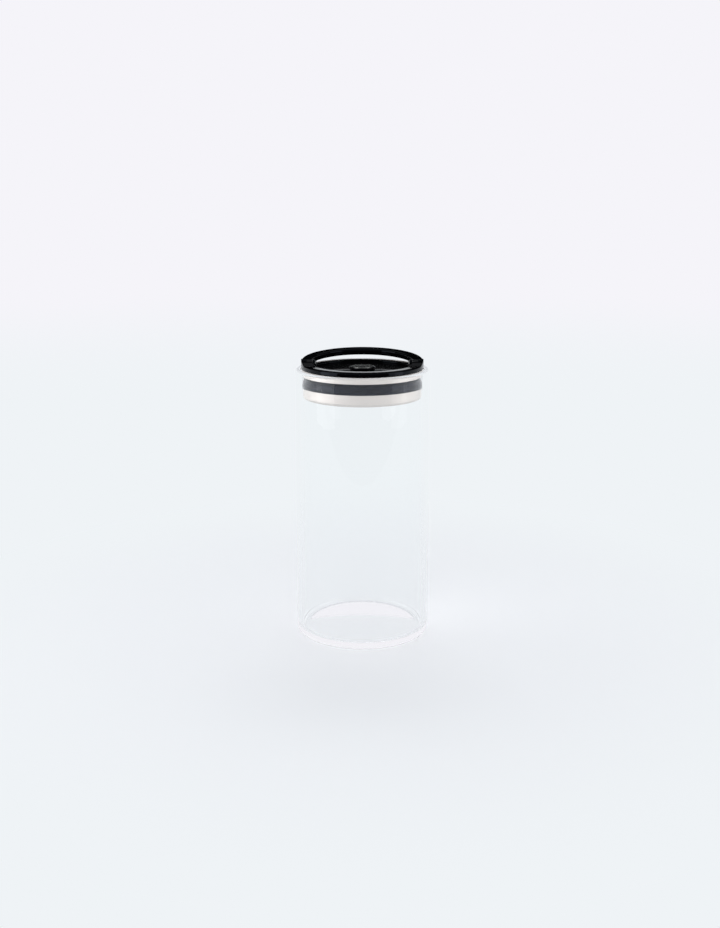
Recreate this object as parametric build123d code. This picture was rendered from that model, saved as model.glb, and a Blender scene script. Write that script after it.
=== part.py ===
from build123d import *
import os
from math import cos, sin, radians

# A vacuum seal canister: a tall clear glass jar, and a plunger lid that slides down the bore.
# Pushing the lid down drives air out through a floating check disc in the lid.
# Raising the half-ring handle turns two cams on its hubs. They push a yoke down, which opens
# a poppet valve in the underside of the lid and lets air back in, so that the lid slides out.
# Origin: the middle of the base, on the surface that the jar stands on. +Z up, front to -Y.

os.makedirs("parts", exist_ok=True)

# Jar
jar_diameter = 112.0
jar_height = 228.0
jar_wall = 4.2
jar_floor = 5.0
jar_foot_round = 4.2
jar_inner_round = 4.0
jar_rim_round = 1.9
foot_ring_width = 4.5
push_up_depth = 0.8
push_up_slope = 3.0

# Stack of the lid, from the band's top edge down
band_above_rim = 0.1
band_height = 5.6
gasket_height = 8.8
cup_height = 10.0
sheet_thickness = 0.8
band_clearance = 1.1
band_flange_thickness = 0.6
band_flange_width = 2.8
band_edge_round = 0.3

# Silicone gasket
lip_clearance = 0.3
lip_height = 2.2
gasket_top_inset = 1.8
gasket_top_rib = 0.8
gasket_waist_inset = 2.9
gasket_depth = 4.6
gasket_fit = 0.1

# Lid core
neck_wall = 1.4
core_flange_thickness = 1.4
core_plate_thickness = 2.4
core_fit = 0.1
tower_wall = 1.6
spring_pocket_radius = 5.8
spring_pocket_drop = 3.1
guide_floor_thickness = 1.5
seat_recess_depth = 1.1
guide_vent_radius = 0.7
guide_vent_pitch_radius = 3.3
guide_vent_count = 4
screw_boss_radius = 3.0
screw_boss_height = 3.0

# Base cup and the carrier inside it
cup_corner_round = 2.5
carrier_plate_thickness = 2.0
carrier_skirt_wall = 1.7
carrier_skirt_round = 2.1
carrier_fit = 0.2
carrier_rib_thickness = 1.4
carrier_rib_count = 8
guard_ring_radius = 10.9
guard_ring_wall = 2.0
oring_gap = 0.8
oring_width = 1.6
oring_thickness = 1.0

# Guard under the release valve
guard_flange_thickness = 0.6
guard_flange_width = 2.6
guard_floor_thickness = 0.8
guard_neck_wall = 1.2
guard_neck_height = 3.6
guard_hole_radius = 1.1
guard_first_ring_count = 6
guard_ring_count = 2
guard_ring_spacing = 3.6
guard_fit = 0.1

# Cover
cover_floor_thickness = 1.5
cover_lip_clearance = 0.2
cover_lip_width = 3.4
cover_lip_below_band = 0.3
cover_lip_round = 0.75
cover_boss_radius = 11.0
cover_boss_height = 3.1
cover_boss_round = 0.8
cover_shell_wall = 1.6
cover_post_radius = 3.4
collar_clearance = 0.5
collar_width = 9.3
collar_height = 4.0
collar_round = 1.2
collar_end_gap = 0.8
collar_slope_width = 6.5
collar_slope_drop = 0.28
shoulder_rise = 2.5
shoulder_run = 15.0
cap_inset = 1.7
cap_thickness = 0.6
cap_edge_round = 0.35
cap_groove_inset = 2.0
cap_groove_width = 0.6
cap_groove_depth = 0.3
ear_thickness = 2.4
ear_radius = 3.6

# Handle and its hinge
hinge_height = 3.5
hub_radius = 3.8
hub_length = 5.6
hub_side_gap = 0.3
hub_collar_inset = 0.2
arch_thickness = 5.5
arch_round = 1.6
arch_rest_tilt = 3.8
outer_boss_radius = 2.9
outer_boss_round = 2.2
pin_radius = 1.5
pin_head_radius = 2.4
pin_head_thickness = 1.0
pin_end_skin = 1.5
bush_wall = 0.7
bush_running_clearance = 0.04
press_fit_clearance = 0.01

# Cams and release travel
handle_travel = 86.2
cam_lift = 2.4
cam_gap = 0.2
cam_side_inset = 0.3
cam_width = 4.0
cam_brow_drop = 1.6
cam_brow_run = 1.2
cam_nose_round = 1.1
cam_point_count = 8

# Yoke, stem and poppet
yoke_top_gap = 1.8
yoke_thickness = 1.2
yoke_width = 8.0
yoke_hub_radius = 8.0
yoke_post_inset = 0.4
yoke_post_thickness = 2.4
yoke_post_depth = 4.6
stem_radius = 2.0
stem_running_clearance = 0.05
stem_shoulder_radius = 3.2
stem_shoulder_thickness = 1.0
stem_head_radius = 3.4
stem_head_thickness = 0.8
stem_top_length = 0.3
clip_radius = 3.6
clip_thickness = 0.7
clip_mouth = 2.6
seat_ring_radius = 6.3
seat_bore_radius = 4.6
seat_ring_height = 1.5
seat_lip_width = 0.7
seat_lip_height = 0.4
seal_gap = 0.1
poppet_radius = 5.8
poppet_seal_thickness = 0.8
poppet_plate_thickness = 1.2
spring_mean_radius = 4.4
spring_wire_radius = 0.35
spring_turn_count = 5
spring_wire_side_count = 8
spring_end_gap = 0.05

# Check valve
check_offset = 27.0
check_disc_radius = 5.0
check_disc_thickness = 1.0
check_travel = 1.1
check_top_clearance = 0.3
check_side_clearance = 0.4
check_cage_wall = 1.8
check_cage_roof = 0.8
check_bar_width = 1.4
check_bar_count = 3
check_vent_radius = 1.0
check_vent_pitch_radius = 3.2
check_vent_count = 6
check_tube_wall = 1.8

# Screws
screw_head_radius = 2.6
screw_head_height = 1.2
screw_shank_radius = 1.1
screw_thread_clearance = 0.05
screw_hole_clearance = 0.2
screw_tip_length = 5.0
screw_count = 4
cover_screw_inset = 15.2
cover_screw_start_angle = 45.0
carrier_screw_inset = 9.2
carrier_screw_start_angle = 22.5

# Working values
overrun = 1.0
full_turn = 360.0

# Radii that follow from the bore
jar_radius = jar_diameter / 2
bore_radius = jar_radius - jar_wall
band_radius = bore_radius - band_clearance
band_inner_radius = band_radius - sheet_thickness
collar_radius = bore_radius - collar_clearance
collar_inner_radius = collar_radius - collar_width
neck_radius = bore_radius - gasket_depth
bowl_radius = neck_radius - neck_wall
cover_screw_ring_radius = neck_radius - cover_screw_inset
carrier_screw_ring_radius = neck_radius - carrier_screw_inset
tower_radius = spring_pocket_radius + tower_wall
guard_ring_outer_radius = guard_ring_radius + guard_ring_wall
cover_lip_radius = band_inner_radius - cover_lip_clearance
cap_radius = cover_boss_radius - cap_inset

# Heights of the lid's levels, from the top down
band_top = jar_height + band_above_rim
band_bottom = band_top - band_height
gasket_bottom = band_bottom - gasket_height
cup_bottom = gasket_bottom - cup_height
cup_floor = cup_bottom + sheet_thickness
core_flange_bottom = band_bottom + band_flange_thickness
cover_bottom = core_flange_bottom + core_flange_thickness
cover_floor = cover_bottom + cover_floor_thickness
cover_lip_top = band_top - cover_lip_below_band
cover_boss_top = cover_floor + cover_boss_height
collar_top = band_top + collar_height
shoulder_top = collar_top + shoulder_rise
core_plate_top = gasket_bottom + core_plate_thickness
spring_seat = core_plate_top - spring_pocket_drop
guide_bottom = spring_seat - guide_floor_thickness
tower_bottom = guide_bottom - seat_recess_depth
carrier_plate_bottom = gasket_bottom - carrier_plate_thickness
seat_bottom = guide_bottom - seat_ring_height
poppet_seal_top = seat_bottom - seal_gap
poppet_plate_top = poppet_seal_top - poppet_seal_thickness
poppet_plate_bottom = poppet_plate_top - poppet_plate_thickness
stem_bottom = poppet_plate_bottom - stem_head_thickness
yoke_top = cover_bottom - yoke_top_gap
yoke_bottom = yoke_top - yoke_thickness
hinge_level = jar_height + hinge_height
pad_level = hinge_level - hub_radius - cam_gap

# Places along the hinge axis, measured outwards from the middle
hub_inner = collar_inner_radius + hub_collar_inset
hub_outer = hub_inner + hub_length
ear_outer = hub_inner - hub_side_gap
ear_inner = ear_outer - ear_thickness
pin_end = collar_radius - pin_end_skin
cam_inner = hub_inner + cam_side_inset

# The cam's support grows evenly with its turn, so it moves a flat pad at a steady rate
cam_rate = cam_lift / radians(handle_travel)
cam_reach = ((hub_radius + cam_lift) ** 2 + cam_rate**2) ** 0.5
pocket_front = cam_reach + collar_end_gap
pocket_rear = hub_radius + collar_end_gap


def turned(corners):
    """Solid of revolution from a closed outline of (radius, height, corner round)."""
    points = [(radius, height) for radius, height, _ in corners]
    rounds = [corner_round for _, _, corner_round in corners]
    outline = FilletPolyline(*points, radius=rounds, close=True)
    return revolve(Plane.XZ * make_face(outline), Axis.Z)


def disc(radius, bottom, top, x=0, y=0):
    """Upright round bar between two heights."""
    flat = Plane.XY.offset(bottom) * Pos(x, y) * Circle(radius)
    return extrude(flat, amount=top - bottom)


def ring(outer, inner, bottom, top, x=0, y=0):
    """Upright round tube between two heights."""
    flat = Plane.XY.offset(bottom) * Pos(x, y) * (Circle(outer) - Circle(inner))
    return extrude(flat, amount=top - bottom)


def block(x_range, y_range, z_range):
    """Box between two corners."""
    middle = [(low + high) / 2 for low, high in (x_range, y_range, z_range)]
    size = [high - low for low, high in (x_range, y_range, z_range)]
    return Pos(*middle) * Box(*size)


def around(count, radius, start_angle=0):
    """Evenly spaced (x, y) places on a circle."""
    angles = [radians(start_angle + full_turn * step / count) for step in range(count)]
    return [(radius * cos(angle), radius * sin(angle)) for angle in angles]


def side_profile(face, side, start, length):
    """Extrude a face drawn in (y, z) about the hinge axis outwards along X on one side."""
    solid = extrude(Plane.YZ * face, amount=length)
    solid = Pos(start, 0, hinge_level) * solid
    return solid if side > 0 else mirror(solid, Plane.YZ)


def along_hinge(radius, side, start, end):
    """Round bar along the hinge axis between two distances from the middle."""
    return side_profile(Circle(radius), side, start, end - start)


def save(name, solid):
    """Write one node."""
    solid.label = name
    export_step(solid, f"parts/{name}.step")
    print(name, "volume", round(solid.volume))


# Glass jar
def make_jar():
    """Blown jar: rounded foot on a flat ring, shallow push-up, fire-polished rim."""
    ring_outer = jar_radius - jar_foot_round
    ring_inner = ring_outer - foot_ring_width
    return turned([
        (ring_inner, 0, 0),
        (jar_radius, 0, jar_foot_round),
        (jar_radius, jar_height, jar_rim_round),
        (bore_radius, jar_height, jar_rim_round),
        (bore_radius, jar_floor, jar_inner_round),
        (0, jar_floor, 0),
        (0, push_up_depth, 0),
        (ring_inner - push_up_slope, push_up_depth, 0),
    ])


# Metal bands
def make_upper_band():
    """Rolled band with a flange that is trapped between the core and the gasket."""
    flange_inner = band_radius - band_flange_width
    flange_top = band_bottom + band_flange_thickness
    return turned([
        (flange_inner, band_bottom, 0),
        (band_radius, band_bottom, band_edge_round),
        (band_radius, band_top, band_edge_round),
        (band_inner_radius, band_top, 0),
        (band_inner_radius, flange_top, 0),
        (flange_inner, flange_top, 0),
    ])


def make_base_cup():
    """Drawn pan under the lid, with the valve's hole and the check valve's vents."""
    inner_round = cup_corner_round - sheet_thickness
    hole = guard_ring_radius + guard_fit
    cup = turned([
        (hole, cup_bottom, 0),
        (band_radius, cup_bottom, cup_corner_round),
        (band_radius, gasket_bottom, 0),
        (band_inner_radius, gasket_bottom, 0),
        (band_inner_radius, cup_floor, inner_round),
        (hole, cup_floor, 0),
    ])
    for x, y in around(check_vent_count, check_vent_pitch_radius):
        cup -= disc(check_vent_radius, cup_bottom - overrun, cup_floor + overrun, x, check_offset + y)
    return cup


# Silicone gasket
def make_gasket():
    """Seal with a hollow waist and a lip that flares out towards the bore at its lower edge."""
    inner = neck_radius + gasket_fit
    lip = bore_radius - lip_clearance
    top = bore_radius - gasket_top_inset
    waist = bore_radius - gasket_waist_inset
    lip_top = gasket_bottom + lip_height
    rib_bottom = band_bottom - gasket_top_rib
    outline = Curve() + [
        Line((inner, gasket_bottom), (lip, gasket_bottom)),
        Line((lip, gasket_bottom), (lip, lip_top)),
        ThreePointArc((lip, lip_top), (waist, (lip_top + rib_bottom) / 2), (top, rib_bottom)),
        Line((top, rib_bottom), (top, band_bottom)),
        Line((top, band_bottom), (inner, band_bottom)),
        Line((inner, band_bottom), (inner, gasket_bottom)),
    ]
    return revolve(Plane.XZ * make_face(outline), Axis.Z)


# Lid core
def make_core():
    """Moulded chassis: neck for the gasket, bowl for the yoke, tower for the release valve."""
    flange_radius = band_inner_radius - core_fit
    core = turned([
        (0, guide_bottom, 0),
        (0, spring_seat, 0),
        (spring_pocket_radius, spring_seat, 0),
        (spring_pocket_radius, core_plate_top, 0),
        (bowl_radius, core_plate_top, 0),
        (bowl_radius, cover_bottom, 0),
        (flange_radius, cover_bottom, 0),
        (flange_radius, core_flange_bottom, 0),
        (neck_radius, core_flange_bottom, 0),
        (neck_radius, gasket_bottom, 0),
        (tower_radius, gasket_bottom, 0),
        (tower_radius, tower_bottom, 0),
        (seat_ring_radius + core_fit, tower_bottom, 0),
        (seat_ring_radius + core_fit, guide_bottom, 0),
    ])
    for x, y in around(screw_count, carrier_screw_ring_radius, carrier_screw_start_angle):
        boss_top = core_plate_top + screw_boss_height
        core += disc(screw_boss_radius, core_plate_top, boss_top, x, y)
        core -= disc(
            screw_shank_radius + screw_thread_clearance,
            gasket_bottom - overrun,
            gasket_bottom + screw_tip_length,
            x,
            y,
        )
    for x, y in around(screw_count, cover_screw_ring_radius, cover_screw_start_angle):
        head_radius = screw_head_radius + screw_hole_clearance
        core -= disc(head_radius, gasket_bottom - overrun, gasket_bottom + screw_head_height, x, y)
        core -= disc(
            screw_shank_radius + screw_hole_clearance,
            gasket_bottom,
            core_plate_top + overrun,
            x,
            y,
        )
    guide_radius = stem_radius + stem_running_clearance
    core -= disc(guide_radius, guide_bottom - overrun, spring_seat + overrun)
    for x, y in around(guide_vent_count, guide_vent_pitch_radius):
        core -= disc(guide_vent_radius, guide_bottom - overrun, spring_seat + overrun, x, y)
    for x, y in around(check_vent_count, check_vent_pitch_radius):
        core -= disc(
            check_vent_radius,
            gasket_bottom - overrun,
            core_plate_top + overrun,
            x,
            check_offset + y,
        )
    return core


# Carrier inside the cup
def make_carrier():
    """Ribbed moulding that clamps the gasket from below and stands on the cup's floor."""
    skirt_radius = band_inner_radius - core_fit
    hole = tower_radius + carrier_fit
    tube_inner = check_disc_radius + check_side_clearance
    tube_outer = tube_inner + check_tube_wall
    carrier = turned([
        (hole, carrier_plate_bottom, 0),
        (guard_ring_radius, carrier_plate_bottom, 0),
        (guard_ring_radius, cup_floor, 0),
        (guard_ring_outer_radius, cup_floor, 0),
        (guard_ring_outer_radius, carrier_plate_bottom, 0),
        (skirt_radius - carrier_skirt_wall, carrier_plate_bottom, 0),
        (skirt_radius - carrier_skirt_wall, cup_floor + carrier_skirt_round, 0),
        (skirt_radius, cup_floor + carrier_skirt_round, 0),
        (skirt_radius, gasket_bottom, 0),
        (hole, gasket_bottom, 0),
    ])
    rib_inner = guard_ring_outer_radius - guard_ring_wall / 2
    rib_outer = skirt_radius - carrier_skirt_wall / 2
    for step in range(carrier_rib_count):
        rib = block(
            (rib_inner, rib_outer),
            (-carrier_rib_thickness / 2, carrier_rib_thickness / 2),
            (cup_floor + carrier_skirt_round, carrier_plate_bottom),
        )
        carrier += Rot(0, 0, full_turn * step / carrier_rib_count) * rib
    carrier += disc(tube_outer, cup_floor, carrier_plate_bottom, 0, check_offset)
    carrier -= disc(tube_inner, cup_floor - overrun, gasket_bottom + overrun, 0, check_offset)
    groove_inner = hole + oring_gap
    carrier -= ring(
        groove_inner + oring_width,
        groove_inner,
        gasket_bottom - oring_thickness,
        gasket_bottom + overrun,
    )
    for x, y in around(screw_count, carrier_screw_ring_radius, carrier_screw_start_angle):
        carrier -= disc(
            screw_shank_radius + screw_hole_clearance,
            carrier_plate_bottom - overrun,
            gasket_bottom + overrun,
            x,
            y,
        )
    return carrier


def make_tower_ring():
    """Square-section seal around the tower, in the carrier's groove."""
    inner = tower_radius + carrier_fit + oring_gap
    return ring(inner + oring_width, inner, gasket_bottom - oring_thickness, gasket_bottom)


def make_guard():
    """Snap-in strainer that holds the cup to the carrier and keeps food off the poppet."""
    neck_radius_here = guard_ring_radius - guard_fit
    flange_radius = guard_ring_radius + guard_flange_width
    bottom = cup_bottom - guard_flange_thickness
    floor = bottom + guard_floor_thickness
    neck_top = cup_bottom + guard_neck_height
    guard = turned([
        (0, bottom, 0),
        (flange_radius, bottom, 0),
        (flange_radius, cup_bottom, 0),
        (neck_radius_here, cup_bottom, 0),
        (neck_radius_here, neck_top, 0),
        (neck_radius_here - guard_neck_wall, neck_top, 0),
        (neck_radius_here - guard_neck_wall, floor, 0),
        (0, floor, 0),
    ])
    guard -= disc(guard_hole_radius, bottom - overrun, floor + overrun)
    for ring_index in range(1, guard_ring_count + 1):
        holes = around(ring_index * guard_first_ring_count, ring_index * guard_ring_spacing)
        for x, y in holes:
            guard -= disc(guard_hole_radius, bottom - overrun, floor + overrun, x, y)
    return guard


# Cover
def make_collar():
    """Front half of the cover's rim, whose shoulders rise to meet the handle's hubs."""
    ridge = collar_inner_radius + collar_slope_width
    sill = collar_top - collar_slope_drop
    rim = turned([
        (collar_inner_radius, cover_bottom, 0),
        (cover_lip_radius, cover_bottom, 0),
        (cover_lip_radius, band_top, 0),
        (collar_radius, band_top, 0),
        (collar_radius, collar_top, collar_round),
        (ridge, collar_top, 0),
        (collar_inner_radius, sill, collar_round / 2),
    ])
    front = block(
        (-jar_radius, jar_radius),
        (-jar_radius, -pocket_front),
        (cover_bottom - overrun, collar_top + overrun),
    )
    toe = -pocket_front - shoulder_run
    outline = Curve() + [
        Polyline((-pocket_front, shoulder_top), (-pocket_front, band_top), (toe, band_top), (toe, sill)),
        Spline((toe, sill), (-pocket_front, shoulder_top), tangents=[(1, 0), (1, 0)]),
    ]
    shoulders = extrude(Plane.YZ * make_face(outline), amount=jar_radius, both=True)
    shoulders &= ring(collar_radius, collar_inner_radius, band_top, shoulder_top + overrun)
    lowest = sill - collar_round
    top_edges = shoulders.edges().filter_by(
        lambda edge: edge.bounding_box().min.Z > lowest and edge.center().Y > toe + overrun
    )
    return (rim & front) + fillet(top_edges, collar_round)


def make_cover():
    """Gloss moulding: dish with a lip, centre boss, front collar, ears and screw posts."""
    lip_inner = cover_lip_radius - cover_lip_width
    cover = turned([
        (0, cover_bottom, 0),
        (cover_lip_radius, cover_bottom, 0),
        (cover_lip_radius, cover_lip_top, cover_lip_round),
        (lip_inner, cover_lip_top, cover_lip_round),
        (lip_inner, cover_floor, cover_lip_round),
        (cover_boss_radius, cover_floor, cover_lip_round),
        (cover_boss_radius, cover_boss_top, cover_boss_round),
        (0, cover_boss_top, 0),
    ])
    cover += make_collar()
    hollow = ring(
        cover_lip_radius - cover_shell_wall,
        collar_inner_radius + cover_shell_wall,
        cover_bottom - overrun,
        collar_top - cover_shell_wall,
    )
    hollow_front = block(
        (-jar_radius, jar_radius),
        (-jar_radius, -pocket_front - cover_shell_wall),
        (cover_bottom - overrun, collar_top + overrun),
    )
    cover -= hollow & hollow_front
    boss_hollow = disc(
        cover_boss_radius - cover_shell_wall,
        cover_bottom - overrun,
        cover_boss_top - cover_shell_wall,
    )
    cover -= boss_hollow
    for side in (-1, 1):
        ear_height = hinge_level - cover_bottom
        ear_face = Circle(ear_radius) + Pos(0, -ear_height / 2) * Rectangle(2 * ear_radius, ear_height)
        cover += side_profile(ear_face, side, ear_inner, ear_thickness)
        pocket = block(
            (ear_outer, hub_outer + hub_side_gap),
            (-pocket_front, pocket_rear),
            (cover_bottom - overrun, collar_top + overrun),
        )
        notch = block(
            (ear_outer, jar_radius),
            (-pocket_front, pocket_rear),
            (band_top, collar_top + overrun),
        )
        for cut in (pocket, notch):
            cover -= cut if side > 0 else mirror(cut, Plane.YZ)
        cover -= along_hinge(pin_radius + press_fit_clearance, side, ear_inner - overrun, ear_outer + overrun)
    for x, y in around(screw_count, cover_screw_ring_radius, cover_screw_start_angle):
        cover += disc(cover_post_radius, core_plate_top, cover_bottom, x, y)
        cover -= disc(
            screw_shank_radius + screw_thread_clearance,
            core_plate_top - overrun,
            gasket_bottom + screw_head_height + screw_tip_length + overrun,
            x,
            y,
        )
    return cover


def make_cap():
    """Plain disc over the valve, with one turned groove."""
    top = cover_boss_top + cap_thickness
    groove = cap_radius - cap_groove_inset
    cap = turned([
        (0, cover_boss_top, 0),
        (cap_radius, cover_boss_top, 0),
        (cap_radius, top, cap_edge_round),
        (0, top, 0),
    ])
    return cap - ring(groove, groove - cap_groove_width, top - cap_groove_depth, top + overrun)


# Handle
def cam_point(turn):
    """Point of the cam's outline, in (y, z) about the hinge, that faces down after this turn."""
    angle = radians(turn)
    support = hub_radius + cam_rate * angle
    y = -support * sin(angle) - cam_rate * cos(angle)
    z = -support * cos(angle) + cam_rate * sin(angle)
    return (y, z)


def cam_face():
    """Hub outline with its nose: flat seat, steadily growing cam, rounded nose, round back."""
    steps = [handle_travel * step / (cam_point_count - 1) for step in range(cam_point_count)]
    points = [cam_point(step) for step in steps]
    tip_angle = radians(handle_travel)
    start_slope = (-1, 0)
    end_slope = (-cos(tip_angle), sin(tip_angle))
    tip = points[-1]
    brow_height = hub_radius - cam_brow_drop
    brow = (tip[0] + end_slope[0] * (brow_height - tip[1]) / end_slope[1], brow_height)
    crest = (-cam_brow_run, hub_radius)
    outline = Curve() + [
        Line((0, -hub_radius), points[0]),
        Spline(*points, tangents=[start_slope, end_slope]),
        FilletPolyline(tip, brow, crest, (0, hub_radius), radius=cam_nose_round),
        ThreePointArc((0, hub_radius), (hub_radius, 0), (0, -hub_radius)),
    ]
    return make_face(outline)


def outer_boss_face():
    """Outline of the hub's outer end, which stays above the metal band as the handle turns."""
    top_half = Pos(0, hub_radius / 2) * Rectangle(2 * outer_boss_radius, hub_radius)
    front_top = top_half.vertices().filter_by(lambda vertex: vertex.X < 0 and vertex.Y > 0)
    return Circle(outer_boss_radius) + fillet(front_top, outer_boss_round)


def make_handle():
    """Half-ring bail with a hub, a cam nose and a blind bore for the bush at each end."""
    low = hub_radius - arch_thickness
    arch_outline = FilletPolyline(
        (hub_inner, low),
        (collar_radius, low),
        (collar_radius, hub_radius),
        (hub_inner, hub_radius),
        radius=arch_round,
        close=True,
    )
    arch = revolve(Plane.XZ * make_face(arch_outline), Axis.Z, full_turn / 2)
    arch = Pos(0, 0, hinge_level) * Rot(arch_rest_tilt, 0, 0) * arch
    handle = arch
    for side in (-1, 1):
        handle += along_hinge(hub_radius, side, hub_inner, hub_outer)
        handle += side_profile(cam_face(), side, cam_inner, cam_width)
        outer = side_profile(outer_boss_face(), side, hub_outer - overrun, collar_radius)
        handle += outer & disc(collar_radius, jar_height, hinge_level + jar_radius)
        bore = pin_radius + bush_wall + press_fit_clearance
        handle -= along_hinge(bore, side, hub_inner - overrun, pin_end + press_fit_clearance)
    return handle


def make_pin(side):
    """Headed pin pressed through an ear from the inside."""
    pin = along_hinge(pin_radius, side, ear_inner, pin_end)
    return pin + along_hinge(pin_head_radius, side, ear_inner - pin_head_thickness, ear_inner)


def make_bush(side):
    """Sleeve pressed into the hub, which turns on the pin."""
    outer = along_hinge(pin_radius + bush_wall, side, hub_inner, pin_end)
    return outer - along_hinge(
        pin_radius + bush_running_clearance, side, hub_inner - overrun, pin_end + overrun
    )


# Release valve
def make_yoke():
    """Pressed bar across the bowl, with a round middle and a post under each cam."""
    post_inner = hub_inner + yoke_post_inset
    post_outer = post_inner + yoke_post_thickness
    half = yoke_width / 2
    yoke = block((-post_outer, post_outer), (-half, half), (yoke_bottom, yoke_top))
    yoke += disc(yoke_hub_radius, yoke_bottom, yoke_top)
    for side in (-1, 1):
        post = block(
            (post_inner, post_outer), (-half, yoke_post_depth - half), (yoke_bottom, pad_level)
        )
        yoke += post if side > 0 else mirror(post, Plane.YZ)
    return yoke - disc(
        stem_radius + press_fit_clearance, yoke_bottom - overrun, yoke_top + overrun
    )


def make_stem():
    """Turned stem: groove end above the yoke, shoulder below it, riveted head at the foot."""
    top = yoke_top + clip_thickness + stem_top_length
    stem = disc(stem_radius, stem_bottom, top)
    stem += disc(stem_shoulder_radius, yoke_bottom - stem_shoulder_thickness, yoke_bottom)
    stem += disc(stem_head_radius, stem_bottom, poppet_plate_bottom)
    groove = ring(
        stem_radius + overrun, clip_mouth / 2, yoke_top, yoke_top + clip_thickness
    )
    return stem - groove


def make_clip():
    """Open retaining clip in the stem's groove."""
    bore = clip_mouth / 2 + press_fit_clearance
    clip = ring(clip_radius, bore, yoke_top, yoke_top + clip_thickness)
    mouth = block(
        (-bore, bore), (-clip_radius - overrun, 0), (yoke_top - overrun, yoke_top + overrun)
    )
    return clip - mouth


def make_seat():
    """Turned seat ring in the foot of the tower, with a narrow sealing lip."""
    lip_outer = seat_bore_radius + seat_lip_width
    return turned([
        (seat_bore_radius, seat_bottom, 0),
        (lip_outer, seat_bottom, 0),
        (lip_outer, seat_bottom + seat_lip_height, 0),
        (seat_ring_radius, seat_bottom + seat_lip_height, 0),
        (seat_ring_radius, guide_bottom, 0),
        (seat_bore_radius, guide_bottom, 0),
    ])


def make_spring():
    """Wire spring between the tower's seat and the yoke, with an eight-sided wire for few facets."""
    low = spring_seat + spring_wire_radius + spring_end_gap
    high = yoke_bottom - spring_wire_radius - spring_end_gap
    height = high - low
    path = Helix(height / spring_turn_count, height, spring_mean_radius, center=(0, 0, low))
    wire = RegularPolygon(spring_wire_radius, spring_wire_side_count)
    section = Plane(origin=path @ 0, z_dir=path % 0) * wire
    return sweep(section, path=path, transition=Transition.RIGHT)


# Check valve
def make_check_disc():
    """Floating disc that covers the vents and lifts while air is driven out."""
    bottom = core_plate_top + seal_gap
    return disc(check_disc_radius, bottom, bottom + check_disc_thickness, 0, check_offset)


def make_check_cage():
    """Ring on the core's plate with bars across its top that stop the disc."""
    inner = check_disc_radius + check_side_clearance
    outer = inner + check_cage_wall
    roof = core_plate_top + seal_gap + check_disc_thickness + check_travel + check_top_clearance
    cage = ring(outer, inner, core_plate_top, roof + check_cage_roof, 0, check_offset)
    for step in range(check_bar_count):
        bar = block(
            (-inner - check_cage_wall / 2, inner + check_cage_wall / 2),
            (-check_bar_width / 2, check_bar_width / 2),
            (roof, roof + check_cage_roof),
        )
        turn = full_turn * step / (2 * check_bar_count)
        cage += Pos(0, check_offset) * Rot(0, 0, turn) * bar
    return cage


# Screws
def make_screw(x, y, head_bottom):
    """Pan-head screw driven upwards."""
    head_top = head_bottom + screw_head_height
    screw = disc(screw_head_radius, head_bottom, head_top, x, y)
    return screw + disc(screw_shank_radius, head_top, head_top + screw_tip_length, x, y)


save("glass_jar", make_jar())
save("upper_band", make_upper_band())
save("base_cup", make_base_cup())
save("seal_gasket", make_gasket())
save("lid_core", make_core())
save("cup_carrier", make_carrier())
save("tower_ring", make_tower_ring())
save("vent_guard", make_guard())
save("top_cover", make_cover())
save("valve_cap", make_cap())
save("handle", make_handle())
for side, word in ((-1, "left"), (1, "right")):
    save(f"hinge_pin_{word}", make_pin(side))
    save(f"hub_bush_{word}", make_bush(side))
save("valve_yoke", make_yoke())
save("valve_stem", make_stem())
save("stem_clip", make_clip())
save("valve_seat", make_seat())
save(
    "poppet_seal",
    ring(poppet_radius, stem_radius + stem_running_clearance, poppet_plate_top, poppet_seal_top),
)
save(
    "poppet_plate",
    ring(poppet_radius, stem_radius + press_fit_clearance, poppet_plate_bottom, poppet_plate_top),
)
save("return_spring", make_spring())
save("check_disc", make_check_disc())
save("check_cage", make_check_cage())
cover_places = around(screw_count, cover_screw_ring_radius, cover_screw_start_angle)
carrier_places = around(screw_count, carrier_screw_ring_radius, carrier_screw_start_angle)
for index, (x, y) in enumerate(cover_places, start=1):
    save(f"cover_screw_{index}", make_screw(x, y, gasket_bottom))
for index, (x, y) in enumerate(carrier_places, start=1):
    save(f"carrier_screw_{index}", make_screw(x, y, carrier_plate_bottom - screw_head_height))
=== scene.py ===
# %% [markdown]
# A vacuum seal canister: a clear glass jar with a plunger lid in its mouth.
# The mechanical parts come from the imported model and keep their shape. This lesson dresses
# them: it spins the glass and the silicone seal as smooth new pieces, gives each surface its
# finish, and sets up a pale studio with the camera a little above the lid.

import bmesh
import bpy
from math import cos, pi, radians, sin
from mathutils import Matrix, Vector


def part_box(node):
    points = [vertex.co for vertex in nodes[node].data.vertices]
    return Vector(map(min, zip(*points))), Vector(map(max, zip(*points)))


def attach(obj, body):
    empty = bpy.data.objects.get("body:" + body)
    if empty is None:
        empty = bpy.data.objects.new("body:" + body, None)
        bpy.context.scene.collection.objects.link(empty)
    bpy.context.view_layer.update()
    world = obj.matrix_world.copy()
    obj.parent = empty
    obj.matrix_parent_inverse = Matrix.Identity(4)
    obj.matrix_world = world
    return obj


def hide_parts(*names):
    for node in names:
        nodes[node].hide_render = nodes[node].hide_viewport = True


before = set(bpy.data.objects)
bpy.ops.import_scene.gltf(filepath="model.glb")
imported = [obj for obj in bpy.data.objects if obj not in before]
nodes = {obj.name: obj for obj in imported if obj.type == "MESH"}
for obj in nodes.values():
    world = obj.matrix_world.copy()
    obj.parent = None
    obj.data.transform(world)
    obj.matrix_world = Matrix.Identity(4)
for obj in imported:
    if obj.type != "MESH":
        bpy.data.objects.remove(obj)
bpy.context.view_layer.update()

# %% [markdown]
# Millimetres are easier to read than metres, so sizes are written in millimetres here and
# turned with one constant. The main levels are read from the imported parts, which keeps every
# new piece in step with the CAD when a size there changes.

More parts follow.
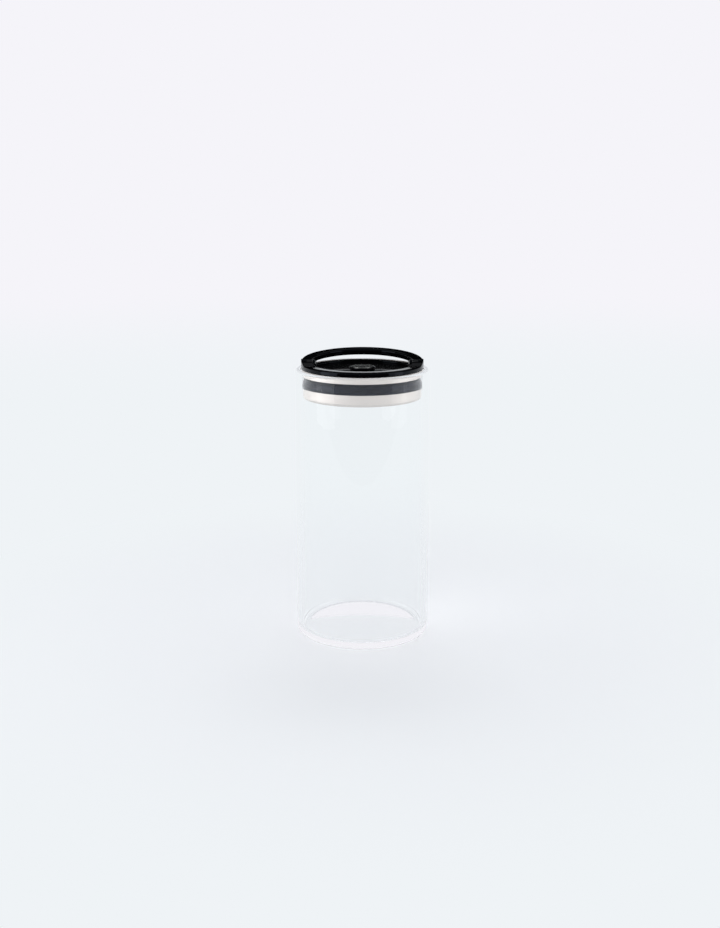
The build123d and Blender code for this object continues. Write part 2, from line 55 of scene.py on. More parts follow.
# %% Sizes taken from the parts
MM = 0.001


def node_box(name):
    """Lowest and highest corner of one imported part."""
    low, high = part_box(name)
    return Vector(low), Vector(high)


jar_high = node_box("glass_jar")[1]
jar_radius = jar_high.x
jar_height = jar_high.z
gasket_low, gasket_high = node_box("seal_gasket")
print("jar radius", round(jar_radius, 5), "height", round(jar_height, 5))
print("seal from", round(gasket_low.z, 5), "to", round(gasket_high.z, 5))

# %% [markdown]
# Two small helpers for edit mode. Operators act on everything that is selected, so each step
# starts by clearing the selection and making one piece active.


# %% Selection helpers
def select_only(piece):
    """Leave edit mode and make this the only selected and active piece."""
    if bpy.context.object and bpy.context.object.mode != "OBJECT":
        bpy.ops.object.mode_set(mode="OBJECT")
    bpy.ops.object.select_all(action="DESELECT")
    piece.select_set(True)
    bpy.context.view_layer.objects.active = piece


def apply_place(piece):
    """Put the piece's place, turn and size into its mesh."""
    select_only(piece)
    bpy.ops.object.transform_apply(location=True, rotation=True, scale=True)


# %% [markdown]
# Glass jars and rubber seals are round about one axis, so a lathe is the natural tool: draw
# half of the section by extruding one vertex from point to point, then spin it full circle.
# Round corners are worked out as short arcs, which gives even, smooth highlights. Points that
# fall together on the axis are welded, and then all faces are turned to point outwards.

# %% Lathe
SPIN_STEPS = 256
SMOOTH_ANGLE = 35
WELD = MM / 1000


def arc(centre, radius, start, end, steps):
    """Points (r, z) on an arc in the section, from one angle in degrees to another."""
    points = []
    for step in range(steps + 1):
        angle = radians(start + (end - start) * step / steps)
        points.append((centre[0] + radius * cos(angle), centre[1] + radius * sin(angle)))
    return points


def lathe(name, outline, closed=True):
    """Spin a section of (r, z) points about the upright axis and return the new piece."""
    bpy.ops.object.select_all(action="DESELECT")
    first = outline[0]
    bpy.ops.mesh.primitive_plane_add(size=MM, location=(first[0], 0, first[1]))
    piece = bpy.context.object
    piece.name = name
    piece.data.name = name
    apply_place(piece)
    bpy.ops.object.mode_set(mode="EDIT")
    bpy.ops.mesh.select_all(action="SELECT")
    bpy.ops.mesh.merge(type="CENTER")
    for before, after in zip(outline, outline[1:]):
        move = (after[0] - before[0], 0, after[1] - before[1])
        bpy.ops.mesh.extrude_vertices_move(TRANSFORM_OT_translate={"value": move})
    bpy.ops.mesh.select_all(action="SELECT")
    if closed:
        section = bmesh.from_edit_mesh(piece.data)
        ends = [vertex for vertex in section.verts if len(vertex.link_edges) == 1]
        section.edges.new(ends)
        bmesh.update_edit_mesh(piece.data)
        bpy.ops.mesh.select_all(action="SELECT")
    bpy.ops.mesh.spin(steps=SPIN_STEPS, angle=2 * pi, center=(0, 0, 0), axis=(0, 0, 1))
    bpy.ops.mesh.select_all(action="SELECT")
    bpy.ops.mesh.remove_doubles(threshold=WELD)
    bpy.ops.mesh.normals_make_consistent(inside=False)
    bpy.ops.object.mode_set(mode="OBJECT")
    bpy.ops.object.shade_smooth_by_angle(angle=radians(SMOOTH_ANGLE))
    print(name, "faces", len(piece.data.polygons))
    return piece


# %% [markdown]
# The jar is blown glass: even walls, a rounded foot and a fire-polished rim. It must be one
# closed skin with a real inner and outer wall, because refraction needs both surfaces.

# %% Glass jar
WALL = 4.2 * MM
FLOOR = 5.0 * MM
FOOT_ROUND = 4.2 * MM
INNER_ROUND = 4.0 * MM
RIM_ROUND = 1.9 * MM
PUSH_UP = 0.8 * MM
FOOT_RING = 4.5 * MM
PUSH_UP_SLOPE = 3.0 * MM
FOOT_STEPS = 10
ROUND_STEPS = 8

bore_radius = jar_radius - WALL
foot_outer = jar_radius - FOOT_ROUND
foot_inner = foot_outer - FOOT_RING
outline = [(0, PUSH_UP), (foot_inner - PUSH_UP_SLOPE, PUSH_UP), (foot_inner, 0)]
outline += arc((foot_outer, FOOT_ROUND), FOOT_ROUND, -90, 0, FOOT_STEPS)
rim_level = jar_height - RIM_ROUND
outline += arc((jar_radius - RIM_ROUND, rim_level), RIM_ROUND, 0, 90, ROUND_STEPS)
outline += arc((bore_radius + RIM_ROUND, rim_level), RIM_ROUND, 90, 180, ROUND_STEPS)
floor_round = (bore_radius - INNER_ROUND, FLOOR + INNER_ROUND)
outline += arc(floor_round, INNER_ROUND, 0, -90, ROUND_STEPS)
outline += [(0, FLOOR)]
jar = lathe("jar_glass", outline, closed=False)
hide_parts("glass_jar")
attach(jar, "jar")

# %% [markdown]
# The seal is moulded silicone. Its waist is hollow, so that it folds easily, and its lower
# edge flares into a lip that wipes the glass. The real lip is a little wider than the bore
# and bends as it goes in. This one can't bend, so it stays just clear of the glass.

# %% Silicone seal
LIP_CLEARANCE = 0.3 * MM
SEAL_DEPTH = 4.5 * MM
LIP_HEIGHT = 2.2 * MM
LIP_ROUND = 0.35 * MM
TOP_INSET = 1.5 * MM
TOP_RIB = 0.8 * MM
WAIST_INSET = 2.6 * MM
EDGE_STEPS = 5
WAIST_STEPS = 18

seal_outer = gasket_high.x
seal_inner = seal_outer + LIP_CLEARANCE - SEAL_DEPTH
seal_bottom = gasket_low.z
seal_top = gasket_high.z
waist_radius = seal_outer - WAIST_INSET
top_radius = seal_outer - TOP_INSET
lip_top = seal_bottom + LIP_HEIGHT
rib_bottom = seal_top - TOP_RIB


def seal_waist(steps):
    """Hollow side of the seal, as a smooth curve from the lip up to the top rib."""
    points = []
    for step in range(1, steps):
        share = step / steps
        height = lip_top + (rib_bottom - lip_top) * share
        edge = seal_outer + (top_radius - seal_outer) * share
        hollow = sin(pi * share) * ((seal_outer + top_radius) / 2 - waist_radius)
        points.append((edge - hollow, height))
    return points


outline = [(seal_inner, seal_bottom)]
lip_round = (seal_outer - LIP_ROUND, seal_bottom + LIP_ROUND)
outline += arc(lip_round, LIP_ROUND, -90, 0, EDGE_STEPS)
outline += [(seal_outer, lip_top)]
outline += seal_waist(WAIST_STEPS)
outline += [(top_radius, rib_bottom)]
top_round = (top_radius - LIP_ROUND, seal_top - LIP_ROUND)
outline += arc(top_round, LIP_ROUND, 0, 90, EDGE_STEPS)
outline += [(seal_inner, seal_top)]
seal = lathe("seal_silicone", outline)
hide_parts("seal_gasket")
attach(seal, "lid")

# %% [markdown]
# Shader graphs are built with one function that adds a node, sets its values and links its
# inputs. Colours are written as sRGB hex, as a colour picker shows them, and turned to the
# linear values that a renderer works in.


# %% Material helpers
def linear(hex_colour):
    """sRGB hex to a linear RGBA colour."""
    parts = [int(hex_colour[index:index + 2], 16) / 255 for index in (1, 3, 5)]
    turned = [p / 12.92 if p <= 0.04045 else ((p + 0.055) / 1.055) ** 2.4 for p in parts]
    return (*turned, 1.0)


def add_node(tree, kind, settings=None, values=None, links=None):
    """Add one node: settings are its properties, values and links fill its sockets."""
    node = tree.nodes.new(kind)
    for key, value in (settings or {}).items():
        setattr(node, key, value)
    for key, value in (values or {}).items():
        node.inputs[key].default_value = value
    for key, source in (links or {}).items():
        tree.links.new(source, node.inputs[key])
    return node


def new_material(name):
    """Empty material with an output node."""
    material = bpy.data.materials.new(name)
    material.use_nodes = True
    material.node_tree.nodes.clear()
    output = material.node_tree.nodes.new("ShaderNodeOutputMaterial")
    return material, material.node_tree, output


def dress(material, *names):
    """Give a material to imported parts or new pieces."""
    for name in names:
        piece = nodes[name] if name in nodes else bpy.data.objects[name]
        piece.data.materials.clear()
        piece.data.materials.append(material)
    print(material.name, "on", ", ".join(names))


# %% [markdown]
# Soda-lime glass, blown and annealed: index 1.52 and almost colourless, with the faintest
# green in the thick edges. The wall of a blown jar is never quite even, so a very soft, wide
# bump bends the reflections a little. In a white tent a clear jar mirrors almost the same tone
# that it lets through. This room is darker for the sake of the black parts, so where a ray
# enters the glass, two thirds of the mirror are traded for plain refraction.

# %% Clear glass
GLASS_TINT = "#FEFFFF"
GLASS_INDEX = 1.52
GLASS_WAVE = 38.0
GLASS_WAVE_DEPTH = 0.05
GLASS_WAVE_STRENGTH = 0.05
MIRROR_CUT = 0.65

glass, tree, output = new_material("soda_lime_glass")
place = add_node(tree, "ShaderNodeTexCoord")
wave = add_node(
    tree, "ShaderNodeTexNoise",
    values={"Scale": 1 / (GLASS_WAVE * MM), "Detail": 1.0},
    links={"Vector": place.outputs["Object"]},
)
bump = add_node(
    tree, "ShaderNodeBump",
    values={"Strength": GLASS_WAVE_STRENGTH, "Distance": GLASS_WAVE_DEPTH * MM},
    links={"Height": wave.outputs["Fac"]},
)
shader = add_node(
    tree, "ShaderNodeBsdfPrincipled",
    values={
        "Base Color": linear(GLASS_TINT),
        "Roughness": 0.0,
        "IOR": GLASS_INDEX,
        "Transmission Weight": 1.0,
    },
    links={"Normal": bump.outputs["Normal"]},
)
plain = add_node(
    tree, "ShaderNodeBsdfRefraction",
    values={"Color": linear("#FFFFFF"), "Roughness": 0.0, "IOR": GLASS_INDEX},
    links={"Normal": bump.outputs["Normal"]},
)
side = add_node(tree, "ShaderNodeNewGeometry")
entering = add_node(
    tree, "ShaderNodeMapRange",
    values={"To Min": MIRROR_CUT, "To Max": 0.0},
    links={"Value": side.outputs["Backfacing"]},
)
body = add_node(
    tree, "ShaderNodeMixShader",
    links={0: entering.outputs["Result"], 1: shader.outputs["BSDF"], 2: plain.outputs["BSDF"]},
)

# %% [markdown]
# A path tracer rarely finds the way from a lamp through two walls, so shadow rays pass
# straight through, and the lid and the table stay as bright as they are behind real glass. A
# ray that has bent four times already goes on straight too, or it would wander in the wall
# until it turned black.

# %% Light through the glass
LAST_BEND = 3.5
SHADOW_TINT = "#FEFEFE"

path = add_node(tree, "ShaderNodeLightPath")
late = add_node(
    tree, "ShaderNodeMath", {"operation": "GREATER_THAN"},
    values={1: LAST_BEND}, links={0: path.outputs["Ray Depth"]},
)
straight = add_node(
    tree, "ShaderNodeMath", {"operation": "MAXIMUM"},
    links={0: path.outputs["Is Shadow Ray"], 1: late.outputs["Value"]},
)
clear = add_node(tree, "ShaderNodeBsdfTransparent", values={"Color": linear(SHADOW_TINT)})
blend = add_node(
    tree, "ShaderNodeMixShader",
    links={
        0: straight.outputs["Value"],
        1: body.outputs["Shader"],
        2: clear.outputs["BSDF"],
    },
)
tree.links.new(blend.outputs["Shader"], output.inputs["Surface"])
dress(glass, "jar_glass")

# %% [markdown]
# 18/8 stainless steel, brushed while it turns, so the lines run round the axis. The lines are
# a noise that changes only with height and with distance from the axis. Anisotropy spreads
# the highlight across the lines. The grain of a No. 4 finish is far finer than a pixel, so it
# is drawn about 0.25 mm apart, which shows in close views. The bands are brushed coarsely and
# look pale. The cap over the valve is turned finer, so it mirrors the dark room.

# %% Brushed steel
GRAIN = 0.25
GRAIN_DEPTH = 0.004
GRAIN_STRENGTH = 0.35
GRAIN_STRETCH = 0.6
BRUSHED_PATCH = 14.0
BRUSHED_SPREAD = (-0.05, 0.07)


def brushed_steel(name, colours, roughness):
    """Steel with lines that run round the upright axis."""
    material, tree, output = new_material(name)
    place = add_node(tree, "ShaderNodeTexCoord")
    parts = add_node(tree, "ShaderNodeSeparateXYZ", links={"Vector": place.outputs["Object"]})
    flat = add_node(
        tree, "ShaderNodeCombineXYZ",
        links={"X": parts.outputs["X"], "Y": parts.outputs["Y"]},
    )
    reach = add_node(
        tree, "ShaderNodeVectorMath", {"operation": "LENGTH"},
        links={0: flat.outputs["Vector"]},
    )
    lines_at = add_node(
        tree, "ShaderNodeCombineXYZ",
        links={"X": reach.outputs["Value"], "Y": parts.outputs["Z"]},
    )
    lines = add_node(
        tree, "ShaderNodeTexNoise",
        values={"Scale": 1 / (GRAIN * MM), "Detail": 3.0, "Roughness": 0.6},
        links={"Vector": lines_at.outputs["Vector"]},
    )
    broad = add_node(
        tree, "ShaderNodeTexNoise",
        values={"Scale": 1 / (BRUSHED_PATCH * MM), "Detail": 2.0},
        links={"Vector": place.outputs["Object"]},
    )
    tone = add_node(
        tree, "ShaderNodeMix", {"data_type": "RGBA"},
        values={"A": linear(colours[0]), "B": linear(colours[1])},
        links={"Factor": lines.outputs["Fac"]},
    )
    rough = add_node(
        tree, "ShaderNodeMapRange",
        values={
            "To Min": roughness + BRUSHED_SPREAD[0],
            "To Max": roughness + BRUSHED_SPREAD[1],
        },
        links={"Value": broad.outputs["Fac"]},
    )
    bump = add_node(
        tree, "ShaderNodeBump",
        values={"Strength": GRAIN_STRENGTH, "Distance": GRAIN_DEPTH * MM},
        links={"Height": lines.outputs["Fac"]},
    )
    tangent = add_node(tree, "ShaderNodeTangent", {"direction_type": "RADIAL", "axis": "Z"})
    shader = add_node(
        tree, "ShaderNodeBsdfPrincipled",
        values={"Metallic": 1.0, "Anisotropic": GRAIN_STRETCH},
        links={
            "Base Color": tone.outputs["Result"],
            "Roughness": rough.outputs["Result"],
            "Normal": bump.outputs["Normal"],
            "Tangent": tangent.outputs["Tangent"],
        },
    )
    tree.links.new(shader.outputs["BSDF"], output.inputs["Surface"])
    return material


band_steel = brushed_steel("brushed_stainless", ("#D1CCC8", "#E0DBD7"), roughness=0.5)
dress(band_steel, "upper_band", "base_cup")
cap_steel = brushed_steel("turned_stainless", ("#B4B4B3", "#CACAC8"), roughness=0.2)
dress(cap_steel, "valve_cap")

# %% [markdown]
# Silicone rubber, compression moulded in a sand-blasted tool: charcoal, soft to the touch,
# with a broad sheen. The sheen is a real reflection, and its slight blue tint is painted
# light. It picks up a little lint, so the tone isn't quite even.
# The blasted skin is far finer than a pixel, so it is drawn in spots of half a millimetre,
# which show in close views.

# %% Silicone
SILICONE_TONES = ("#06080E", "#0B0E16")
# Painted light: a blue tint on the real reflections, standing in for bluish light.
SILICONE_PAINTED_BLUE_LIGHT = "#A6BDF0"
BLAST_SIZE = 0.5
BLAST_DEPTH = 0.02
BLAST_STRENGTH = 0.25
LINT_SIZE = 9.0

silicone, tree, output = new_material("moulded_silicone")
place = add_node(tree, "ShaderNodeTexCoord")
blast = add_node(
    tree, "ShaderNodeTexNoise",
    values={"Scale": 1 / (BLAST_SIZE * MM), "Detail": 2.0},
    links={"Vector": place.outputs["Object"]},
)
cloud = add_node(
    tree, "ShaderNodeTexNoise",
    values={"Scale": 1 / (LINT_SIZE * MM), "Detail": 3.0},
    links={"Vector": place.outputs["Object"]},
)
tone = add_node(
    tree, "ShaderNodeMix", {"data_type": "RGBA"},
    values={"A": linear(SILICONE_TONES[0]), "B": linear(SILICONE_TONES[1])},
    links={"Factor": cloud.outputs["Fac"]},
)
bump = add_node(
    tree, "ShaderNodeBump",
    values={"Strength": BLAST_STRENGTH, "Distance": BLAST_DEPTH * MM},
    links={"Height": blast.outputs["Fac"]},
)
shader = add_node(
    tree, "ShaderNodeBsdfPrincipled",
    values={
        "Roughness": 0.3,
        "IOR": 1.41,
        "Specular IOR Level": 0.3,
        # Painted light: the tint gives the real reflections a blue cast.
        "Specular Tint": linear(SILICONE_PAINTED_BLUE_LIGHT),
    },
    links={"Base Color": tone.outputs["Result"], "Normal": bump.outputs["Normal"]},
)
tree.links.new(shader.outputs["BSDF"], output.inputs["Surface"])
dress(silicone, "seal_silicone", "tower_ring", "poppet_seal", "check_disc")

# %% [markdown]
# ABS, injection moulded in a polished tool: deep black, with sharp reflections. Handling
# leaves a faint haze of fine scratches, which is a small change of roughness. The mirror is
# set weaker than that of real ABS, because the blacks of the photograph are very deep. The
# mouldings inside the lid are polypropylene, made in a tool with a fine satin texture.

# %% Moulded plastics
HAZE_SIZE = 12.0
HAZE_SPREAD = (0.7, 1.4)
TOOL_MARK = 0.6
TOOL_MARK_STRENGTH = 0.3
# Painted light: a pale blue tint on the real reflections, standing in for bluish light.
PLASTIC_PAINTED_BLUE_LIGHT = "#D4E0F4"


def moulded(name, colours, roughness, depth):
    """Moulded plastic with a slightly uneven gloss and tool marks of this depth in mm."""
    material, tree, output = new_material(name)
    place = add_node(tree, "ShaderNodeTexCoord")
    haze = add_node(
        tree, "ShaderNodeTexNoise",
        values={"Scale": 1 / (HAZE_SIZE * MM), "Detail": 4.0},
        links={"Vector": place.outputs["Object"]},
    )
    skin = add_node(
        tree, "ShaderNodeTexNoise",
        values={"Scale": 1 / (TOOL_MARK * MM), "Detail": 2.0},
        links={"Vector": place.outputs["Object"]},
    )
    tone = add_node(
        tree, "ShaderNodeMix", {"data_type": "RGBA"},
        values={"A": linear(colours[0]), "B": linear(colours[1])},
        links={"Factor": haze.outputs["Fac"]},
    )
    rough = add_node(
        tree, "ShaderNodeMapRange",
        values={
            "To Min": roughness * HAZE_SPREAD[0],
            "To Max": roughness * HAZE_SPREAD[1],
        },
        links={"Value": haze.outputs["Fac"]},
    )
    bump = add_node(
        tree, "ShaderNodeBump",
        values={"Strength": TOOL_MARK_STRENGTH, "Distance": depth * MM},
        links={"Height": skin.outputs["Fac"]},
    )
    shader = add_node(
        tree, "ShaderNodeBsdfPrincipled",
        values={
            "IOR": 1.5,
            "Specular IOR Level": 0.16,
            # Painted light: the tint gives the real reflections a pale blue cast.
            "Specular Tint": linear(PLASTIC_PAINTED_BLUE_LIGHT),
        },
        links={
            "Base Color": tone.outputs["Result"],
            "Roughness": rough.outputs["Result"],
            "Normal": bump.outputs["Normal"],
        },
    )
    tree.links.new(shader.outputs["BSDF"], output.inputs["Surface"])
    return material


gloss_abs = moulded("polished_black_abs", ("#020203", "#040405"), roughness=0.06, depth=0.001)
dress(gloss_abs, "top_cover", "handle")
satin_pp = moulded("satin_polypropylene", ("#3A3B3D", "#434446"), roughness=0.42, depth=0.02)
dress(satin_pp, "lid_core", "cup_carrier", "vent_guard", "check_cage")

# %% [markdown]
# The small turned and pressed metal parts inside the lid: plain bright steel, and brass for
# the bushes and the valve seat.

# %% Small metal parts
METAL_PATCH = 3.0
METAL_SPREAD = (-0.06, 0.08)


def small_metal(name, colours, roughness):
    """Plain turned or pressed metal with a slightly uneven gloss."""
    material, tree, output = new_material(name)
    place = add_node(tree, "ShaderNodeTexCoord")
    cloud = add_node(
        tree, "ShaderNodeTexNoise",
        values={"Scale": 1 / (METAL_PATCH * MM), "Detail": 4.0},
        links={"Vector": place.outputs["Object"]},
    )
    tone = add_node(
        tree, "ShaderNodeMix", {"data_type": "RGBA"},
        values={"A": linear(colours[0]), "B": linear(colours[1])},
        links={"Factor": cloud.outputs["Fac"]},
    )
    rough = add_node(
        tree, "ShaderNodeMapRange",
        values={
            "To Min": roughness + METAL_SPREAD[0],
            "To Max": roughness + METAL_SPREAD[1],
        },
        links={"Value": cloud.outputs["Fac"]},
    )
    shader = add_node(
        tree, "ShaderNodeBsdfPrincipled",
        values={"Metallic": 1.0},
        links={"Base Color": tone.outputs["Result"], "Roughness": rough.outputs["Result"]},
    )
    tree.links.new(shader.outputs["BSDF"], output.inputs["Surface"])
    return material


plain_steel = small_metal("bright_spring_steel", ("#B9B9B8", "#CFCFCE"), roughness=0.25)
steel_parts = ["hinge_pin_left", "hinge_pin_right", "valve_yoke", "valve_stem", "stem_clip"]
steel_parts += ["poppet_plate", "return_spring"]
steel_parts += [name for name in sorted(nodes) if "screw" in name]
dress(plain_steel, *steel_parts)
brass = small_metal("turned_brass", ("#B8985A", "#CBAA68"), roughness=0.28)
dress(brass, "hub_bush_left", "hub_bush_right", "valve_seat")

# %% [markdown]
# The studio: pale paper that fades into a pale backdrop without a line. The paper takes the
# canister's shadow near the middle and turns into the plain backdrop colour further out.
# Further back that colour is painted a little lighter and warmer, as painted light on the far
# backdrop. Sizes in the studio are in metres.

# %% Paper
BACKDROP = "#EFF3F6"
# Painted light: the lighter, warmer tone that the far backdrop turns to towards the back.
PAINTED_LIGHT_SWEEP = "#F5F4F9"
PAPER = "#F1F1F3"
TABLE_SIZE = 12.0
FADE_START = 0.16
FADE_END = 0.42
PAINTED_LIGHT_START = 1.1
PAINTED_LIGHT_END = 3.0

bpy.ops.object.select_all(action="DESELECT")
bpy.ops.mesh.primitive_plane_add(size=TABLE_SIZE, location=(0, 0, 0))
table = bpy.context.object
table.name = "table"
paper, tree, output = new_material("white_paper")
place = add_node(tree, "ShaderNodeTexCoord")
reach = add_node(
    tree, "ShaderNodeVectorMath", {"operation": "LENGTH"},
    links={0: place.outputs["Object"]},
)
fade = add_node(
    tree, "ShaderNodeMapRange", {"interpolation_type": "SMOOTHSTEP"},
    values={"From Min": FADE_START, "From Max": FADE_END},
    links={"Value": reach.outputs["Value"]},
)
near = add_node(tree, "ShaderNodeBsdfDiffuse", values={"Color": linear(PAPER)})
sweep_light_mask = add_node(
    tree, "ShaderNodeMapRange", {"interpolation_type": "SMOOTHSTEP"},
    values={"From Min": PAINTED_LIGHT_START, "From Max": PAINTED_LIGHT_END},
    links={"Value": reach.outputs["Value"]},
)
# Painted light: the backdrop colour blends into a lighter, warmer tone further back.
backdrop_with_painted_light = add_node(
    tree, "ShaderNodeMix", {"data_type": "RGBA"},
    values={"A": linear(BACKDROP), "B": linear(PAINTED_LIGHT_SWEEP)},
    links={"Factor": sweep_light_mask.outputs["Result"]},
)
far = add_node(
    tree, "ShaderNodeEmission", values={"Strength": 1.0},
    links={"Color": backdrop_with_painted_light.outputs["Result"]},
)
sheet = add_node(
    tree, "ShaderNodeMixShader",
    links={0: fade.outputs["Result"], 1: near.outputs["BSDF"], 2: far.outputs["Emission"]},
)
print("table", TABLE_SIZE, "m wide, paper fades from", FADE_START, "to", FADE_END)

# %% [markdown]
# The paper ends a little way in front of the canister. The dark studio floor beyond it keeps
# the front of the gloss black parts dark, and only direct mirror images see it. The camera
# and the glass see the backdrop there.

# %% Studio floor
STUDIO_FLOOR = "#2A2B2E"
PAPER_FRONT = -0.66

floor = add_node(tree, "ShaderNodeBsdfDiffuse", values={"Color": linear(STUDIO_FLOOR)})
path = add_node(tree, "ShaderNodeLightPath")
parts = add_node(tree, "ShaderNodeSeparateXYZ", links={"Vector": place.outputs["Object"]})
beyond = add_node(
    tree, "ShaderNodeMath", {"operation": "LESS_THAN"},
    values={1: PAPER_FRONT}, links={0: parts.outputs["Y"]},
)
mirrored = add_node(
    tree, "ShaderNodeMath", {"operation": "SUBTRACT", "use_clamp": True},
    links={0: path.outputs["Is Glossy Ray"], 1: path.outputs["Is Transmission Ray"]},
)
early = add_node(
    tree, "ShaderNodeMath", {"operation": "LESS_THAN"},
    values={1: LAST_BEND}, links={0: path.outputs["Ray Depth"]},
)
direct = add_node(
    tree, "ShaderNodeMath", {"operation": "MULTIPLY"},
    links={0: mirrored.outputs["Value"], 1: early.outputs["Value"]},
)
dark = add_node(
    tree, "ShaderNodeMath", {"operation": "MULTIPLY"},
    links={0: beyond.outputs["Value"], 1: direct.outputs["Value"]},
)
ground = add_node(
    tree, "ShaderNodeMixShader",
    links={0: dark.outputs["Value"], 1: sheet.outputs["Shader"], 2: floor.outputs["BSDF"]},
)
tree.links.new(ground.outputs["Shader"], output.inputs["Surface"])
table.data.materials.append(paper)

# %% [markdown]
# The world is the room. Gloss sees what stands round a product in a studio: the lit foot of
# the backdrop, above it a dark room, and a grey ceiling. The foot ends just where the sloping
# top of the collar still mirrors it and the flat dish behind no longer does. Each edge is
# soft, and is given by two angles above the horizon.

# %% Room
FOOT_EDGE = (6.2, 7.8)
CEILING_EDGE = (28, 50)
ROOM_LEVEL = 0.004
CEILING_LEVEL = 0.35

world = bpy.data.worlds.new("studio_room")
bpy.context.scene.world = world
world.use_nodes = True
tree = world.node_tree
tree.nodes.clear()
output = add_node(tree, "ShaderNodeOutputWorld")
direction = add_node(tree, "ShaderNodeTexCoord")
parts = add_node(
    tree, "ShaderNodeSeparateXYZ",
    links={"Vector": direction.outputs["Generated"]},
)
ceiling = add_node(
    tree, "ShaderNodeMapRange", {"interpolation_type": "SMOOTHSTEP"},
    values={
        "From Min": sin(radians(CEILING_EDGE[0])),
        "From Max": sin(radians(CEILING_EDGE[1])),
        "To Min": ROOM_LEVEL,
        "To Max": CEILING_LEVEL,
    },
    links={"Value": parts.outputs["Z"]},
)
foot = add_node(
    tree, "ShaderNodeMapRange", {"interpolation_type": "SMOOTHSTEP"},
    values={
        "From Min": sin(radians(FOOT_EDGE[0])),
        "From Max": sin(radians(FOOT_EDGE[1])),
        "To Min": 1.0,
        "To Max": 0.0,
    },
    links={"Value": parts.outputs["Z"]},
)
height = add_node(
    tree, "ShaderNodeMath", {"operation": "MAXIMUM"},
    links={0: ceiling.outputs["Result"], 1: foot.outputs["Result"]},
)
print("lit foot up to", FOOT_EDGE[1], "degrees, ceiling from", CEILING_EDGE[0])

# %% [markdown]
# Light Path tells what a ray is for. The eye and the glass see the pale backdrop in every
# direction, in the tone that the far paper has, so no line shows where the two meet. Mirror
# rays that come out of the glass after many bends see it too. Light that only fills shadows
# comes evenly from all sides.

# %% Room for each kind of ray
ROOM_FILL = 0.89

path = add_node(tree, "ShaderNodeLightPath")
room = add_node(
    tree, "ShaderNodeMix", {"data_type": "FLOAT"},
    values={"A": ROOM_FILL},
    links={"Factor": path.outputs["Is Glossy Ray"], "B": height.outputs["Value"]},
)
clear_view = add_node(
    tree, "ShaderNodeMath", {"operation": "MAXIMUM"},
    links={0: path.outputs["Is Camera Ray"], 1: path.outputs["Is Transmission Ray"]},
)
late = add_node(
    tree, "ShaderNodeMath", {"operation": "GREATER_THAN"},
    values={1: LAST_BEND}, links={0: path.outputs["Ray Depth"]},
)
late_mirror = add_node(
    tree, "ShaderNodeMath", {"operation": "MULTIPLY"},
    links={0: path.outputs["Is Glossy Ray"], 1: late.outputs["Value"]},
)
seen = add_node(
    tree, "ShaderNodeMath", {"operation": "MAXIMUM"},
    links={0: clear_view.outputs["Value"], 1: late_mirror.outputs["Value"]},
)
strength = add_node(
    tree, "ShaderNodeMix", {"data_type": "FLOAT"},
    values={"B": 1.0},
    links={"Factor": seen.outputs["Value"], "A": room.outputs["Result"]},
)
# The eye and the glass see the backdrop in its painted lighter, warmer tone.
room_tone = add_node(
    tree, "ShaderNodeMix", {"data_type": "RGBA"},
    values={"A": linear(BACKDROP), "B": linear(PAINTED_LIGHT_SWEEP)},
    links={"Factor": seen.outputs["Value"]},
)
light = add_node(
    tree, "ShaderNodeBackground",
    links={"Color": room_tone.outputs["Result"], "Strength": strength.outputs["Result"]},
)
tree.links.new(light.outputs["Background"], output.inputs["Surface"])
print("world", world.name, "fill", ROOM_FILL)

# %% [markdown]
# Two tall soft boxes stand on the table left and right. Each starts about 48 degrees round
# from the camera, and their edges are the steps in tone that run down the glass and the lid.
# The left one is stronger, which moves the soft shadow in front of the foot a little to the
# right. A smaller one hangs above and behind for the rims. Mirror images leave it out, for it
# would show as a white block in the floor of the jar.

# %% Soft boxes
BOX_DISTANCE = 1.15
BOX_HEIGHTS = (0.02, 0.92)
BOX_AIM = (0, 0, 0.47)
LEFT_EDGES = (-47, -82)
LEFT_POWER = 3.3
RIGHT_EDGES = (49.5, 80)
RIGHT_POWER = 1.9
TOP_REACH = 0.45
TOP_BACK = 0.8
TOP_HEIGHTS = (1.3, 1.7)
TOP_AIM = (0, 0, 0.2)
TOP_POWER = 3.0


def soft_box(name, start, end, heights, target, power):
    """Area lamp between two (x, y) edges and two heights, turned to face a place."""
    bpy.ops.object.select_all(action="DESELECT")
    low, high = heights
    place = Vector(((start[0] + end[0]) / 2, (start[1] + end[1]) / 2, (low + high) / 2))
    bpy.ops.object.light_add(type="AREA", location=place)
    lamp = bpy.context.object
    lamp.name = name
    lamp.data.shape = "RECTANGLE"
    lamp.data.size = (Vector(end) - Vector(start)).length
    lamp.data.size_y = high - low
    lamp.data.energy = power
    lamp.rotation_euler = (Vector(target) - place).to_track_quat("-Z", "Y").to_euler()
    print(name, "width", round(lamp.data.size, 3), "height", round(lamp.data.size_y, 3))
    return lamp


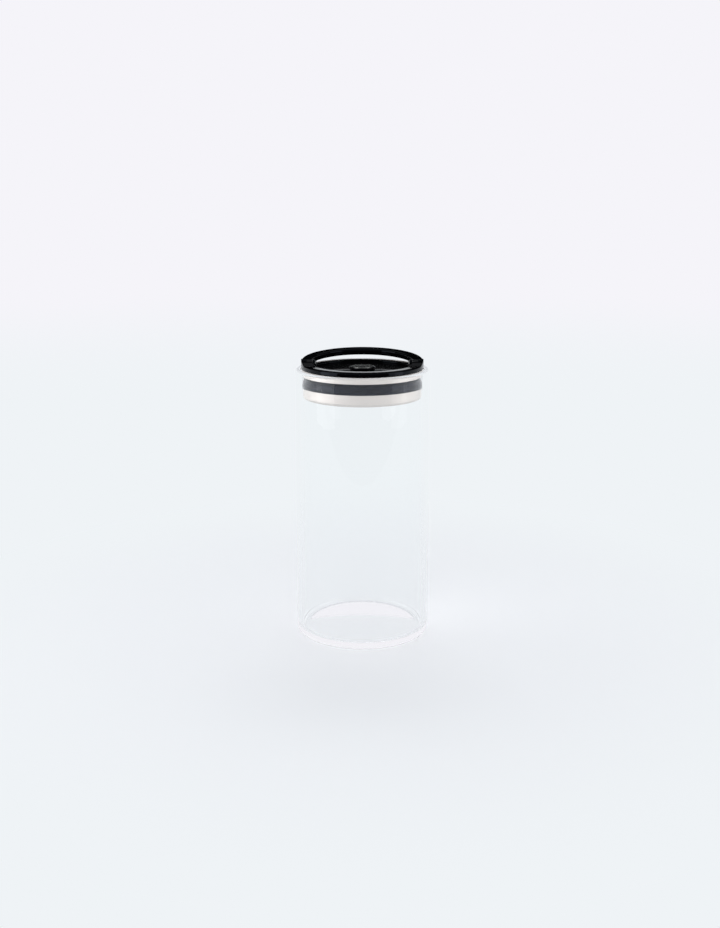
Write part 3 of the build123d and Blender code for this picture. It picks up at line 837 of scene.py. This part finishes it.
def round_table(angle):
    """Place of a soft box's edge, by its angle in degrees round from the camera's side."""
    return (BOX_DISTANCE * sin(radians(angle)), -BOX_DISTANCE * cos(radians(angle)))


left_start, left_end = map(round_table, LEFT_EDGES)
soft_box("left_box", left_start, left_end, BOX_HEIGHTS, BOX_AIM, LEFT_POWER)
right_start, right_end = map(round_table, RIGHT_EDGES)
soft_box("right_box", right_start, right_end, BOX_HEIGHTS, BOX_AIM, RIGHT_POWER)
top_start, top_end = (-TOP_REACH, TOP_BACK), (TOP_REACH, TOP_BACK)
top_box = soft_box("top_box", top_start, top_end, TOP_HEIGHTS, TOP_AIM, TOP_POWER)
top_box.visible_glossy = False

# %% [markdown]
# The camera stands about a metre away, a little above the lid. It tips down ten degrees and
# uses a small lens shift for the rest, as a product photographer does to keep the sides of a
# jar upright. Light that enters a thick wall near its edge is thrown to and fro inside the
# glass, and a path that is cut short there turns black, so paths may be long.

# %% Camera
IMAGE_WIDTH = 720
IMAGE_HEIGHT = 928
SENSOR_WIDTH = 36
DISTANCE = 1007 * MM
HEIGHT = 392 * MM
TIP = 10.03
FOCAL_PIXELS = 1214.8
AXIS_PIXEL = (362.3, 384.4)
GLASS_BOUNCES = 40

bpy.ops.object.select_all(action="DESELECT")
bpy.ops.object.camera_add(location=(0, -DISTANCE, HEIGHT), rotation=(radians(90 - TIP), 0, 0))
camera = bpy.context.object
camera.name = "camera"
camera.data.sensor_fit = "HORIZONTAL"
camera.data.sensor_width = SENSOR_WIDTH
camera.data.lens = FOCAL_PIXELS * SENSOR_WIDTH / IMAGE_WIDTH
camera.data.shift_x = (IMAGE_WIDTH / 2 - AXIS_PIXEL[0]) / IMAGE_WIDTH
camera.data.shift_y = (AXIS_PIXEL[1] - IMAGE_HEIGHT / 2) / IMAGE_WIDTH
bpy.context.scene.camera = camera
bpy.context.scene.view_settings.view_transform = "Standard"
limits = ("max_bounces", "glossy_bounces", "transmission_bounces", "transparent_max_bounces")
for limit in limits:
    setattr(bpy.context.scene.cycles, limit, GLASS_BOUNCES)
print("lens", round(camera.data.lens, 2), "shift", round(camera.data.shift_y, 4))
